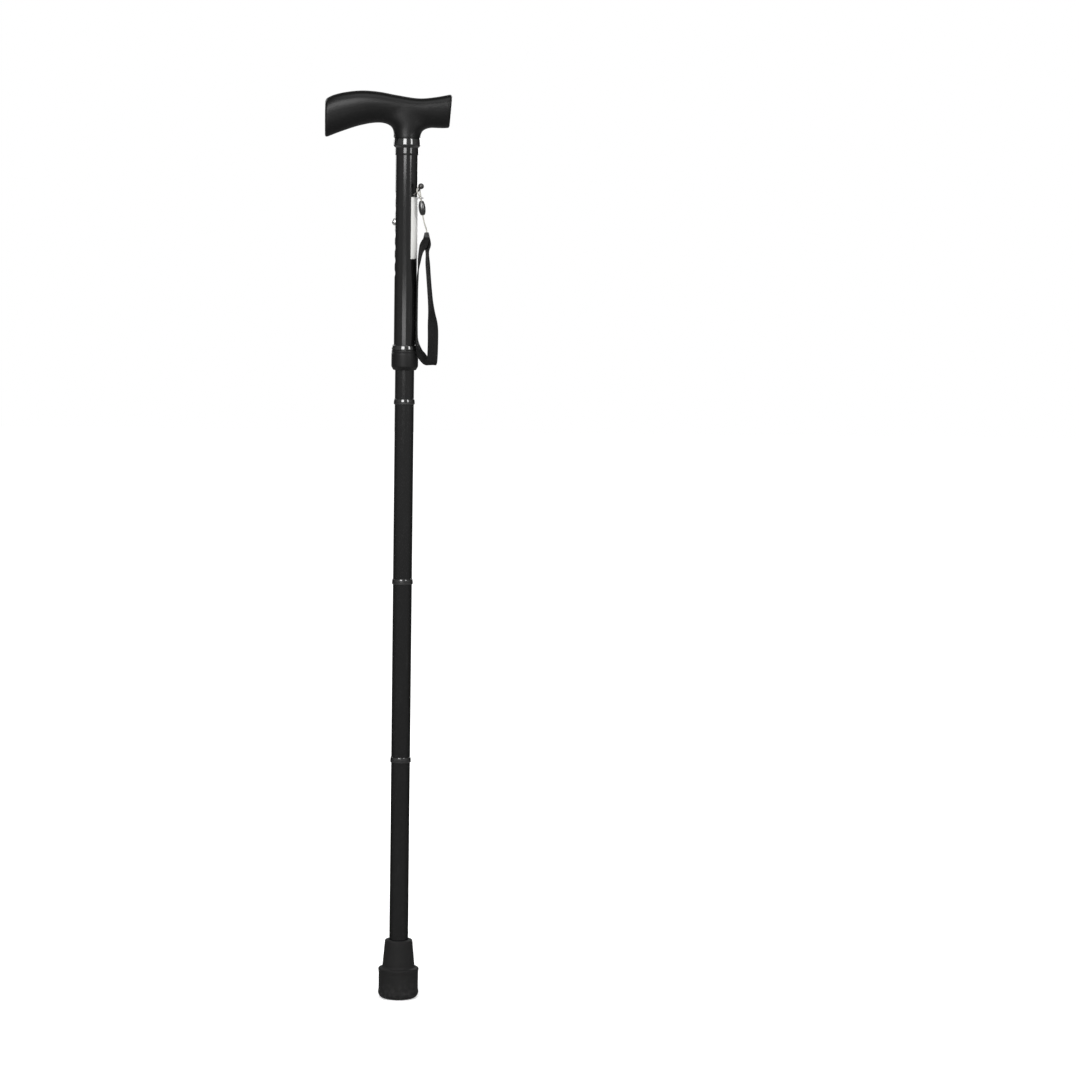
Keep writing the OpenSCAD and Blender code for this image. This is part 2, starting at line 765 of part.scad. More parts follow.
module rubber_tip() {
    foot_r = foot_d / 2;
    shoulder_r = shoulder_d / 2;
    mouth_r = mouth_d / 2;
    bead_z = foot_h - bead_round;
    color([0.1, 0.1, 0.1])
        difference() {
            rotate_extrude()
                polygon(concat(
                    [[0, 0]],
                    arc([foot_r - foot_round, foot_round], foot_round, -90, 0),
                    [[foot_r - foot_waist, foot_round + waist_ends[0]]],
                    [[foot_r - foot_waist, bead_z - waist_ends[1]]],
                    arc([foot_r - bead_round, bead_z], bead_round, 0, bead_turn),
                    [[shoulder_r + shoulder_fillet[0], foot_h + shoulder_step]],
                    [[shoulder_r, foot_h + shoulder_step + shoulder_fillet[1]]],
                    arc([mouth_r - mouth_round, tip_h - mouth_round], mouth_round, 0, 90),
                    [[0, tip_h]]));
            rod(inner_r, sole_t, tip_h + 1);
            for (r = groove_r)
                translate([0, 0, -1])
                    tube(r + groove_w / 2, groove_w, 0, groove_depth + 1);
        }
}

handle();
handle_insert();
handle_screw();
neck_collar();
outer_tube();
lock_bush();
label();
strap_stud();
lock_nut();
strap_ring();
strap_tether();
strap_bead();
strap_webbing();
inner_tube();
guide_bush();
snap_spring();
cord_anchor_top();
cord_knot_top();
cord_1();
joint_ring_1();
snap_button();
link_cord_1();
link_cord_2();
link_cord_3();
joint_plug_1();
tube_2();
joint_ring_2();
cord_2();
joint_plug_2();
tube_3();
joint_ring_3();
cord_3();
joint_plug_3();
tube_4();
cord_4();
cord_anchor_bottom();
cord_knot_bottom();
tip_washer();
rubber_tip();
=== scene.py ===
"""Folding cane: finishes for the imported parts, and finer pieces that stand for some of them."""
import json
import math

import bmesh
import bpy
from mathutils import Matrix, Vector


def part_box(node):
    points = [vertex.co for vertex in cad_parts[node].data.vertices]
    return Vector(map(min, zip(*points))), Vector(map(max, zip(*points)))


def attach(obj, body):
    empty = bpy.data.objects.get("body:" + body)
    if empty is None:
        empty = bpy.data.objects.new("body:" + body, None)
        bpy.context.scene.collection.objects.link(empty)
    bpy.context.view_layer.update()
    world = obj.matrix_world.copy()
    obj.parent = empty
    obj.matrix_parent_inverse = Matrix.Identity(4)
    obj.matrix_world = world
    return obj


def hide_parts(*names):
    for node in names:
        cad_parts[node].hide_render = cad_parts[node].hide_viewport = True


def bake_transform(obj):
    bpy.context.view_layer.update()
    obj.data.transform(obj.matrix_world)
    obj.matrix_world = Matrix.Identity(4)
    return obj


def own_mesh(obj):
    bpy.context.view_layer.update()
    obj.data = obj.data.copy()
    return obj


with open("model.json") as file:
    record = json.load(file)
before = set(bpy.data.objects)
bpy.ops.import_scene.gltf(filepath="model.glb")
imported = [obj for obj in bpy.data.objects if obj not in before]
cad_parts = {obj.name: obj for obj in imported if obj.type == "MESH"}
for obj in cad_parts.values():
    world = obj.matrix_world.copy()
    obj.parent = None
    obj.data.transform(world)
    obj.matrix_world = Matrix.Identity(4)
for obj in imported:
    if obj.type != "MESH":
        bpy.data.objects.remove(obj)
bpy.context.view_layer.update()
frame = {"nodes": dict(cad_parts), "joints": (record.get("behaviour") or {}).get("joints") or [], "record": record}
nodes = frame["nodes"]
scene = bpy.context.scene
MM = 0.001

# Camera

PHOTO_PX = 1079
SENSOR = 36
CAMERA_AT = Vector((0, -4, 0.9))
FOCAL_PX = 4029.8
YAW, PITCH, ROLL = 0.03409, 0.10791, -0.01416


def aim_camera():
    """Camera at the photograph's angle: turned to the right of the cane, a little down, and rolled."""
    ahead = Vector((math.cos(PITCH) * math.sin(YAW), math.cos(PITCH) * math.cos(YAW), -math.sin(PITCH)))
    level = Vector((math.cos(YAW), -math.sin(YAW), 0))
    upright = level.cross(ahead)
    right = math.cos(ROLL) * level - math.sin(ROLL) * upright
    up = math.sin(ROLL) * level + math.cos(ROLL) * upright
    data = bpy.data.cameras.new("photo_camera")
    data.sensor_width = SENSOR
    data.lens = FOCAL_PX * SENSOR / PHOTO_PX
    camera = bpy.data.objects.new("photo_camera", data)
    scene.collection.objects.link(camera)
    turn = Matrix((right, up, -ahead)).transposed().to_4x4()
    camera.matrix_world = Matrix.Translation(CAMERA_AT) @ turn
    scene.camera = camera


aim_camera()

# Shared modelling steps


def foot_of(node):
    """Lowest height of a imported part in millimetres, to the micrometre."""
    return round(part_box(node)[0].z / MM, 3)


def top_of(node):
    return round(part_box(node)[1].z / MM, 3)


def deselect():
    for thing in bpy.context.selected_objects:
        thing.select_set(False)


def pick(piece):
    """Only this piece is selected, and it is the active one."""
    deselect()
    piece.select_set(True)
    bpy.context.view_layer.objects.active = piece


def new_piece(name, mesh):
    """An object at the origin that holds this mesh."""
    piece = bpy.data.objects.new(name, mesh)
    scene.collection.objects.link(piece)
    return piece


def start_piece(name, add, **settings):
    """A primitive, added with everything else deselected, that the edit steps then shape."""
    deselect()
    add(**settings)
    piece = bpy.context.active_object
    piece.name = name
    piece.data.name = name
    return piece


def settle(piece):
    """The piece's place goes into its mesh, so that its object sits at the origin."""
    pick(piece)
    bpy.ops.object.transform_apply(location=True, rotation=True, scale=True)


def edit(piece):
    pick(piece)
    bpy.ops.object.mode_set(mode="EDIT")


def done():
    bpy.ops.object.mode_set(mode="OBJECT")


def face_outwards():
    """Turns every face outwards, and leaves edit mode."""
    bpy.ops.mesh.select_all(action="SELECT")
    bpy.ops.mesh.normals_make_consistent(inside=False)
    done()


def apply_modifier(piece, kind, **settings):
    pick(piece)
    modifier = piece.modifiers.new(kind.lower(), kind)
    for key, value in settings.items():
        setattr(modifier, key, value)
    bpy.ops.object.modifier_apply(modifier=modifier.name)


def discard(piece):
    bpy.data.objects.remove(piece)


def smooth_shaded(piece, degrees):
    pick(piece)
    bpy.ops.object.shade_smooth_by_angle(angle=math.radians(degrees))


def pick_vertices(piece, wanted):
    """Selects the vertices, in edit mode, whose places pass the test."""
    bm = bmesh.from_edit_mesh(piece.data)
    bpy.ops.mesh.select_mode(type="VERT")
    for vertex in bm.verts:
        vertex.select_set(bool(wanted(vertex.co)))
    bm.select_flush_mode()
    bmesh.update_edit_mesh(piece.data)


def squared(value, power):
    """A cosine or sine, drawn out so that a circle turns into a rounded square."""
    return math.copysign(abs(value) ** power, value)


def smooth_route(points, steps):
    """Points on a smooth curve through a list of points, with so many steps from one to the next."""
    places = [Vector(p) for p in points]
    last = len(places) - 1
    curve = []
    for i in range(last):
        a, b, c, d = places[max(0, i - 1)], places[i], places[i + 1], places[min(last, i + 2)]
        for k in range(steps):
            t = k / steps
            curve.append(0.5 * (2 * b + (c - a) * t + (2 * a - 5 * b + 4 * c - d) * t ** 2
                                + (3 * b - a - 3 * c + d) * t ** 3))
    return curve + [places[last]]


def run_lengths(route):
    """How far along the route each of its points lies."""
    lengths = [0]
    for a, b in zip(route, route[1:]):
        lengths.append(lengths[-1] + (b - a).length)
    return lengths


def heading(route, i):
    """Direction of the route at one of its points."""
    return (route[min(len(route) - 1, i + 1)] - route[max(0, i - 1)]).normalized()


def skin_rings(name, rings, lengths, around):
    """A closed tube over rings of points, with a UV map: across from 0 to 1, and along in metres."""
    bm = bmesh.new()
    uv = bm.loops.layers.uv.new("weave")
    made = [[bm.verts.new(p) for p in ring] for ring in rings]
    count = len(rings[0])
    for i in range(len(rings) - 1):
        for j in range(count):
            n = (j + 1) % count
            face = bm.faces.new((made[i][j], made[i][n], made[i + 1][n], made[i + 1][j]))
            face.smooth = True
            spots = ((j, i), (j + 1, i), (j + 1, i + 1), (j, i + 1))
            for loop, (across, along) in zip(face.loops, spots):
                loop[uv].uv = (around[across], lengths[along])
    for ring, along in ((made[0][::-1], lengths[0]), (made[-1], lengths[-1])):
        for loop in bm.faces.new(ring).loops:
            loop[uv].uv = (0.5, along)
    bmesh.ops.recalc_face_normals(bm, faces=bm.faces)
    mesh = bpy.data.meshes.new(name)
    bm.to_mesh(mesh)
    bm.free()
    return new_piece(name, mesh)


def tube_along(name, route, radius, sides, lengths=None):
    """A round tube along a route, its rings carried along without twist."""
    side = heading(route, 0).orthogonal().normalized()
    rings = []
    for i, place in enumerate(route):
        ahead = heading(route, i)
        side = (side - side.dot(ahead) * ahead).normalized()
        other = ahead.cross(side)
        turns = [2 * math.pi * j / sides for j in range(sides)]
        rings.append([place + radius * (math.cos(t) * side + math.sin(t) * other) for t in turns])
    if lengths is None:
        lengths = run_lengths(route)
    return skin_rings(name, rings, lengths, [j / sides for j in range(sides + 1)])


# Wrist strap: tether, webbing, whipping

SWING = next(joint for joint in frame["joints"] if joint["name"] == "strap_swing")
STRAP_AT = Vector([v / MM for v in SWING["pos_m"]])
TETHER_D, TETHER_STEPS, TETHER_SIDES = 1.4, 8, 12
# From the bead up, round the stud and down to the webbing, in millimetres from where the strap swings
TETHER_ROUTE = [
    (3.7, 0.75, -15), (3, 0.75, -10.5), (2.6, 0.8, -7.4), (2, 1.2, -4), (1.5, 1.4, -1.2), (1.25, 1.4, 1),
    (0.65, 0.85, 2.35), (-0.2, 0.2, 2.7), (-0.85, -0.65, 2.35), (-1.4, -1.25, 1), (-1.3, -1.35, -1.2),
    (0.1, -1.2, -4), (1.8, -0.8, -7.4), (2.8, -0.75, -10.5), (3.9, -0.7, -17), (4.6, -0.4, -24.2),
    (5.2, -0.2, -28), (6.6, 0.2, -33.5), (8, 1.4, -37.5), (8.4, 1.9, -39.5), (8.5, 2, -41.2)]
WEB_W, WEB_T, WEB_END_W = 10.5, 1.2, 3
WEB_TAPER, WEB_CROWN, WEB_STEPS = 15, 0.06, 12
# Middle line of the webbing, each point with the direction of its width
WEB_ROUTE = [
    ((8.4, 1, -41.2), (1, 0, 0)), ((7.7, 0.9, -49), (1, -0.2, 0)), ((3.4, 0.8, -59), (0.45, -0.9, 0)),
    ((1.4, 1.6, -70), (0.2, -1, 0)), ((0.4, 4, -81), (-0.05, -1, 0)), ((-0.2, 6.5, -97), (-0.09, -1, 0)),
    ((-0.25, 8, -117), (-0.09, -1, 0)), ((-0.2, 7.5, -137), (-0.09, -1, 0)),
    ((0.15, 6, -148), (-0.16, -1, -0.05)), ((2.2, 5.2, -157.5), (-0.42, -0.88, -0.3)),
    ((4.8, 4.6, -163), (-0.4, -0.6, -0.65)), ((8.6, 4.2, -167.8), (-0.4, -0.65, -0.6)),
    ((12.6, 2.8, -170.8), (-0.7, -0.7, -0.2)), ((14.5, -0.8, -171.2), (-1, -0.2, 0)),
    ((15.5, -2, -165), (-1, -0.1, 0)), ((15.9, -2, -147), (-1, -0.1, 0)),
    ((15.6, -1.4, -134), (-1, 0.25, 0)), ((14.4, -0.2, -122), (-0.7, 0.8, 0)),
    ((13.1, 0.8, -110), (-0.5, 1, 0)), ((11.9, 1.6, -97), (-0.42, 1, 0)),
    ((10.9, 2.2, -85), (-0.4, 1, 0)), ((9.9, 2.8, -72), (-0.4, 1, 0)), ((9.3, 3, -60), (-0.3, 1, 0)),
    ((9.1, 3.1, -50), (-1, 0.35, 0)), ((8.6, 3, -41.2), (-1, 0, 0))]


def in_metres(points):
    """Places in the frame of points told from where the strap swings."""
    return [(STRAP_AT + Vector(p)) * MM for p in points]


def hang_tether():
    """Thin cord with the ring and the bead on it."""
    route = smooth_route(in_metres(TETHER_ROUTE), TETHER_STEPS)
    tether = tube_along("tether_cord", route, TETHER_D / 2 * MM, TETHER_SIDES)
    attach(tether, "wrist_strap")
    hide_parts("strap_tether")
    round(run_lengths(route)[-1], 4)
    return tether


def band_section(width, thick):
    """Outline across the webbing: flat faces with a slight crown, and round selvedges."""
    half, edge = width / 2, thick / 2
    spots = [(-half, 0), (-half + 0.3 * edge, 0.75 * edge), (-half + edge, edge)]
    spots += [(t * (half - edge), edge * (1 + WEB_CROWN * (1 - t * t))) for t in (-0.5, 0, 0.5)]
    spots += [(half - edge, edge), (half - 0.3 * edge, 0.75 * edge), (half, 0)]
    return spots + [(a, -b) for a, b in spots[-2:0:-1]]


def hang_webbing():
    """The two-layer loop, which narrows to both its ends."""
    route = smooth_route(in_metres([p for p, _ in WEB_ROUTE]), WEB_STEPS)
    width_way = smooth_route([w for _, w in WEB_ROUTE], WEB_STEPS)
    lengths = run_lengths(route)
    rings = []
    for i, place in enumerate(route):
        ahead = heading(route, i)
        wide = (width_way[i] - width_way[i].dot(ahead) * ahead).normalized()
        out = ahead.cross(wide)
        near = min(1, min(lengths[i], lengths[-1] - lengths[i]) / (WEB_TAPER * MM))
        width = (WEB_END_W + (WEB_W - WEB_END_W) * near) * MM
        rings.append([place + a * wide + b * out for a, b in band_section(width, WEB_T * MM)])
    outline = band_section(WEB_W, WEB_T)
    around = [a / WEB_W + 0.5 for a, _ in outline] + [outline[0][0] / WEB_W + 0.5]
    webbing = skin_rings("webbing_loop", rings, lengths, around)
    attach(webbing, "wrist_strap")
    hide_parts("strap_webbing")
    return webbing


WHIP_AT = (8.5, 2, -41.5)
WHIP_TURNS, WHIP_STEPS, WHIP_PITCH = 7, 28, 0.62
WHIP_HALF_X, WHIP_HALF_Y, WHIP_GROWTH, WHIP_SQUARE = 2.05, 2, 0.06, 0.7
THREAD_R, THREAD_SIDES = 0.3, 6


def whip_strap_end():
    """Thread wound round the two webbing ends where they meet the tether."""
    x, y, top = WHIP_AT
    points = []
    for k in range(WHIP_TURNS * WHIP_STEPS + 1):
        a = 2 * math.pi * k / WHIP_STEPS
        half_x = WHIP_HALF_X * (1 + WHIP_GROWTH * k / WHIP_STEPS)
        points.append((x + half_x * squared(math.cos(a), WHIP_SQUARE),
                       y + WHIP_HALF_Y * squared(math.sin(a), WHIP_SQUARE),
                       top - WHIP_PITCH * k / WHIP_STEPS))
    whipping = tube_along("strap_whipping", in_metres(points), THREAD_R * MM, THREAD_SIDES)
    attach(whipping, "wrist_strap")
    return whipping


tether = hang_tether()
webbing = hang_webbing()
whipping = whip_strap_end()

# Elastic cord across the fold joints

CORD_D, CORD_SIDES = 4, 20
BEND_BAND, BEND_RINGS, BEND_LENGTH = 0.3, 64, 70
STRAIGHT_RINGS = 24


def make_link_cord(number):
    """Elastic cord above a plug, made with a short band of close rings at its foot."""
    foot, top = foot_of(f"link_cord_{number}"), top_of(f"link_cord_{number}")
    straight = top - foot - BEND_BAND
    heights = [foot + BEND_BAND * k / BEND_RINGS for k in range(BEND_RINGS + 1)]
    lengths = [BEND_LENGTH * k / BEND_RINGS for k in range(BEND_RINGS + 1)]
    for k in range(1, STRAIGHT_RINGS + 1):
        heights.append(foot + BEND_BAND + straight * k / STRAIGHT_RINGS)
        lengths.append(BEND_LENGTH + straight * k / STRAIGHT_RINGS)
    route = [Vector((0, 0, z * MM)) for z in heights]
    cord = tube_along(f"elastic_link_{number}", route, CORD_D / 2 * MM, CORD_SIDES,
                      [v * MM for v in lengths])
    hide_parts(f"link_cord_{number}")
    ends = [(f"cord_link_{number}", foot + BEND_BAND), (f"section_{number + 1}", foot)]
    # Joint 2 turns about -X, so its ends are listed from the lower end.
    if number == 2:
        ends.reverse()
    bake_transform(cord)
    return cord


link_cords = [make_link_cord(number) for number in (1, 2, 3)]

# Snap spring: a steel strip bent into a V behind the button

SPRING_Z, SPRING_T, SPRING_W = 781, 0.8, 6
FRONT_X, BACK_X, HELD_X = -4.82, 7.07, 7.2
BEND_X, BEND_R, BEND_STEPS, LEG_DROP = 0.22, 2, 14, 40
PAD_HALF, TOE_IN, TOE_FOOT, TOE_TOP = 4.5, 0.6, 1.5, 3.5
EDGE_BREAK, EDGE_ANGLE = 0.12, math.radians(50)


def draw_through(places):
    """Extrudes the selected end face in straight stretches from place to place."""
    for a, b in zip(places, places[1:]):
        bpy.ops.mesh.extrude_region_move(TRANSFORM_OT_translate={"value": b - a})


def bend_spring():
    """A strip's end face, drawn down the front leg, spun round the bend and drawn up the back leg."""
    def at(x, z):
        return Vector((x, 0, SPRING_Z + z)) * MM

    front = [at(FRONT_X, PAD_HALF), at(FRONT_X, -PAD_HALF), at(BEND_X - BEND_R, -LEG_DROP)]
    back = [at(BEND_X + BEND_R, -LEG_DROP), at(BACK_X - TOE_IN, TOE_FOOT), at(BACK_X, TOE_TOP)]
    strip = start_piece("spring_strip", bpy.ops.mesh.primitive_plane_add, size=1, location=front[0])
    strip.scale = (SPRING_T * MM, SPRING_W * MM, 1)
    settle(strip)
    edit(strip)
    bpy.ops.mesh.select_all(action="SELECT")
    draw_through(front)
    bpy.ops.mesh.spin(steps=BEND_STEPS, angle=math.pi, center=at(BEND_X, -LEG_DROP), axis=(0, 1, 0))
    draw_through(back)
    face_outwards()
    apply_modifier(strip, "BEVEL", width=EDGE_BREAK * MM, segments=2, limit_method="ANGLE",
                   angle_limit=EDGE_ANGLE)
    smooth_shaded(strip, 35)
    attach(strip, "inner")
    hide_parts("snap_spring")
    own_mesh(strip)
    return strip


spring = bend_spring()

# Moulded handle

NECK_Z = top_of("neck_collar")
NOSE_LEN, TAIL_LEN = 81, 43
CROWN, SADDLE, TAIL_TOP, NOSE_TOP = 45.8, 38.8, 43.4, 37
ARCH, TAIL_UNDER, NOSE_FOOT = 14.2, 9.7, -1
PALM_W, END_W, NECK_R = 30, 26.5, 13.35
EGG, SQUARENESS, END_ROUND, TAIL_SLANT = 0.36, 2.5, 2.4, 0.08
BAR_SIDES, BAR_STEPS = 48, 46
FLARE_NOSE, FLARE_TAIL, FLARE_STEPS = (12, 9), (9.5, 7), 18
STEM_TOP, STEM_GROWTH = 30, 0.9
BORE_R, BORE_LEN, BORE_SIDES = 11.15, 40, 96
VOXEL = 0.62
# Reach from the axis, height above the neck's foot, and passes of the smoothing that rounds the flare off
FLARE_PASSES = ((40, 33, 40), (34, 30, 60), (30, 27, 60), (27, 22, 60))
FOOT_REACH = 30
BAR_TOP = [
    (-NOSE_LEN, NOSE_TOP), (-0.9 * NOSE_LEN, NOSE_TOP + 0.46 * (CROWN - NOSE_TOP)),
    (-0.74 * NOSE_LEN, NOSE_TOP + 0.82 * (CROWN - NOSE_TOP)), (-0.54 * NOSE_LEN, CROWN),
    (-0.33 * NOSE_LEN, CROWN - 0.17 * (CROWN - SADDLE)),
    (-0.13 * NOSE_LEN, CROWN - 0.58 * (CROWN - SADDLE)), (0.26 * TAIL_LEN, SADDLE),
    (0.62 * TAIL_LEN, SADDLE + 0.3 * (TAIL_TOP - SADDLE)), (TAIL_LEN, TAIL_TOP)]
BAR_UNDER = [
    (-NOSE_LEN, NOSE_FOOT), (-0.79 * NOSE_LEN, NOSE_FOOT + 0.44 * (ARCH - NOSE_FOOT)),
    (-0.56 * NOSE_LEN, NOSE_FOOT + 0.84 * (ARCH - NOSE_FOOT)), (-0.36 * NOSE_LEN, ARCH),
    (0, 0.5 * (ARCH + TAIL_UNDER)), (0.5 * TAIL_LEN, TAIL_UNDER), (TAIL_LEN, TAIL_UNDER)]
BAR_HALF = [(-NOSE_LEN, END_W / 2), (-0.55 * NOSE_LEN, PALM_W / 2), (0, 0.25 * (PALM_W + END_W)),
            (TAIL_LEN, END_W / 2)]


def curve_at(points, x):
    """Smooth value at x on a curve through points that rise in x."""
    last = len(points) - 1
    i = 0
    while i < last - 1 and x > points[i + 1][0]:
        i += 1

    def slope(k):
        a, b = points[max(0, k - 1)], points[min(last, k + 1)]
        return (b[1] - a[1]) / (b[0] - a[0])

    wide = points[i + 1][0] - points[i][0]
    t = (x - points[i][0]) / wide
    return ((2 * t ** 3 - 3 * t ** 2 + 1) * points[i][1] + (t ** 3 - 2 * t ** 2 + t) * wide * slope(i)
            + (3 * t ** 2 - 2 * t ** 3) * points[i + 1][1] + (t ** 3 - t ** 2) * wide * slope(i + 1))


def egg_outline():
    """Section of the bar within a unit square: squared, widest above the middle, narrower underneath."""
    spots = []
    for j in range(BAR_SIDES):
        a = 2 * math.pi * j / BAR_SIDES
        c, s = squared(math.cos(a), 2 / SQUARENESS), squared(math.sin(a), 2 / SQUARENESS)
        spots.append((c * (1 - EGG * (1 - s) / 2), s))
    widest = max(c for c, _ in spots)
    return [(c / widest, s) for c, s in spots]


def bar_stations():
    """Places along the bar, with how far each is drawn in: round ends, and even steps between."""
    turns = [math.radians(a) for a in (90, 72, 54, 36, 18, 0)]
    rounding = [(END_ROUND * (1 - math.sin(a)), END_ROUND * (1 - math.cos(a))) for a in turns]
    nose = [(-NOSE_LEN + along, inset) for along, inset in rounding]
    tail = [(TAIL_LEN - along, inset) for along, inset in reversed(rounding)]
    first, last = nose[-1][0], tail[0][0]
    return nose + [(first + (last - first) * k / BAR_STEPS, 0) for k in range(1, BAR_STEPS)] + tail


def grow_rings(rings):
    """Extrudes the selected end face from ring to ring: each is (centre, size in x, y, z)."""
    for (old, old_size), (new, new_size) in zip(rings, rings[1:]):
        bpy.ops.mesh.extrude_region_move(TRANSFORM_OT_translate={"value": (0, 0, 0)})
        bpy.ops.transform.translate(value=Vector(new) - Vector(old))
        ratio = [b / a if a else 1 for a, b in zip(old_size, new_size)]
        bpy.ops.transform.resize(value=ratio, center_override=new)


def grow_from_circle(name, rings, sides, fill):
    """A circle at the first ring, extruded through the others and left in edit mode."""
    place, size = rings[0]
    piece = start_piece(name, bpy.ops.mesh.primitive_circle_add, vertices=sides, radius=size[0],
                        fill_type=fill, location=place)
    settle(piece)
    edit(piece)
    bpy.ops.mesh.select_all(action="SELECT")
    grow_rings(rings)
    return piece


def shape_bar():
    """The bar's egg section, extruded from the nose to the tail, whose end then leans."""
    rings = []
    for x, inset in bar_stations():
        top, under = curve_at(BAR_TOP, x) - inset, curve_at(BAR_UNDER, x) + inset
        rings.append(((x * MM, 0, (NECK_Z + (top + under) / 2) * MM),
                      (0, (curve_at(BAR_HALF, x) - inset) * MM, (top - under) / 2 * MM)))
    bar = start_piece("handle_moulding", bpy.ops.mesh.primitive_circle_add, vertices=BAR_SIDES, radius=1,
                      fill_type="NGON")
    edit(bar)
    bm = bmesh.from_edit_mesh(bar.data)
    bm.verts.ensure_lookup_table()
    (x, _, z), (_, half, high) = rings[0]
    for vertex, (c, s) in zip(bm.verts, egg_outline()):
        vertex.co = (x, c * half, z + s * high)
    bmesh.update_edit_mesh(bar.data)
    bpy.ops.mesh.select_all(action="SELECT")
    grow_rings(rings)
    bm = bmesh.from_edit_mesh(bar.data)
    for vertex in bm.verts:
        x, z = vertex.co.x / MM, vertex.co.z / MM - NECK_Z
        middle = (curve_at(BAR_TOP, x) + curve_at(BAR_UNDER, x)) / 2
        vertex.co.x += TAIL_SLANT * max(0, x) / TAIL_LEN * (z - middle) * MM
    bmesh.update_edit_mesh(bar.data)
    face_outwards()
    return bar


def flare(size, end, t):
    """How far the stem spreads at height t, by a quarter of an ellipse that ends at height end."""
    u = min(1, max(0, (t - end + size[1]) / size[1]))
    return size[0] * (1 - math.sqrt(1 - u * u))


def shape_neck():
    """Stem that flares into the underside of the bar and ends inside it. It starts below its cut foot."""
    flared = [ARCH * k / FLARE_STEPS for k in range(1, FLARE_STEPS + 1)]
    rings = []
    for t in [-6, -3, 0] + flared + [18, 22, 26, STEM_TOP]:
        left, right = NECK_R + flare(FLARE_NOSE, ARCH, t), NECK_R + flare(FLARE_TAIL, TAIL_UNDER, t)
        half = NECK_R + STEM_GROWTH * (max(0, t) / STEM_TOP) ** 2
        place = ((right - left) / 2 * MM, 0, (NECK_Z + t) * MM)
        rings.append((place, ((right + left) / 2 * MM, half * MM, 0)))
    neck = grow_from_circle("handle_neck", rings, BAR_SIDES, "NGON")
    face_outwards()
    return neck


def mould_handle():
    """Bar and stem made one, the join rounded, the stem's foot cut level and bored for the tube."""
    handle, neck = shape_bar(), shape_neck()
    apply_modifier(handle, "BOOLEAN", object=neck, operation="UNION", solver="EXACT")
    discard(neck)
    apply_modifier(handle, "REMESH", mode="VOXEL", voxel_size=VOXEL * MM)
    edit(handle)
    bpy.ops.mesh.select_all(action="SELECT")
    bpy.ops.mesh.vertices_smooth(factor=0.5, repeat=5)
    for reach, top, repeat in FLARE_PASSES:
        pick_vertices(handle, lambda p: abs(p.x) < reach * MM and NECK_Z + 2 < p.z / MM < NECK_Z + top)
        bpy.ops.mesh.vertices_smooth(factor=0.5, repeat=repeat)
    pick_vertices(handle, lambda p: abs(p.x) < FOOT_REACH * MM)
    bpy.ops.mesh.bisect(plane_co=(0, 0, NECK_Z * MM), plane_no=(0, 0, 1), use_fill=True, clear_inner=True)
    done()
    bore = start_piece("handle_bore", bpy.ops.mesh.primitive_cylinder_add, vertices=BORE_SIDES,
                       radius=BORE_R * MM, depth=BORE_LEN * MM, location=(0, 0, NECK_Z * MM))
    settle(bore)
    apply_modifier(handle, "BOOLEAN", object=bore, operation="DIFFERENCE", solver="EXACT")
    discard(bore)
    smooth_shaded(handle, 50)
    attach(handle, "upper")
    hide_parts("handle")
    return handle


handle = mould_handle()

# Turned rings: neck collar, lip above the lock nut, lock nut, fold joints

JOINT_Z = [foot_of(f"joint_ring_{number}") for number in (1, 2, 3)]
COLLAR_Z, NUT_Z, LIP_GAP = foot_of("neck_collar"), foot_of("lock_nut"), 0.3
LIP_Z = top_of("lock_nut") + LIP_GAP
RING_SIDES, MERGE = 128, 0.001
# Profiles of (radius, height above the foot), closed from the last point back to the first
SKIRT = [
    (11.14, 0), (11.45, 0.04), (11.62, 0.25), (11.68, 0.7), (11.67, 2.2), (11.65, 4.2), (11.63, 6.2),
    (11.62, 7.3), (11.14, 7.3)]
COLLAR = [
    (11.14, 7.3), (11.7, 7.3), (12, 7.55), (12.5, 8.2), (12.95, 8.85), (13.24, 9.5), (13.35, 10.2),
    (13.3, 11.4), (13.2, 12.8), (13.08, 14.2), (12.94, 15.4), (12.75, 16.3), (12.5, 16.8), (12.2, 16.95),
    (11.14, 16.95)]
LIP = [
    (11.14, 0.05), (12.9, 0.05), (13.05, 0.2), (13.06, 0.5), (12.97, 1.3), (12.86, 2.1), (12.72, 2.9),
    (12.52, 3.6), (12.28, 4.2), (11.9, 4.6), (11.4, 4.75), (11.14, 4.75)]
NUT = [
    (9.95, 0), (11, 0), (11.3, 0.12), (11.6, 0.5), (12.9, 2.8), (13.18, 3.4), (13.3, 4.1), (13.33, 5),
    (13.35, 10), (13.33, 15.4), (13.28, 16.2), (13.16, 16.9), (12.98, 17.1), (12.98, 17.5), (13.14, 17.7),
    (13.2, 18.2), (13.1, 18.9), (12.9, 19.5), (12.65, 19.85), (12.35, 20), (12.35, 5), (9.95, 5)]
JOINT_RING = [
    (9.55, 0.02), (10.2, 0.02), (10.38, 0.1), (10.42, 0.3), (10.36, 0.8), (10.27, 1.5), (10.16, 2.2),
    (10.05, 2.8), (9.92, 3.15), (9.7, 3.34), (9.55, 3.36)]


def turn_ring(name, profile, foot):
    """A ring turned to a closed profile above its foot."""
    rings = [((0, 0, (foot + z) * MM), (r * MM, r * MM, 0)) for r, z in profile]
    ring = grow_from_circle(name, rings + rings[:1], RING_SIDES, "NOTHING")
    bpy.ops.mesh.select_all(action="SELECT")
    bpy.ops.mesh.remove_doubles(threshold=MERGE * MM)
    face_outwards()
    smooth_shaded(ring, 42)
    return ring


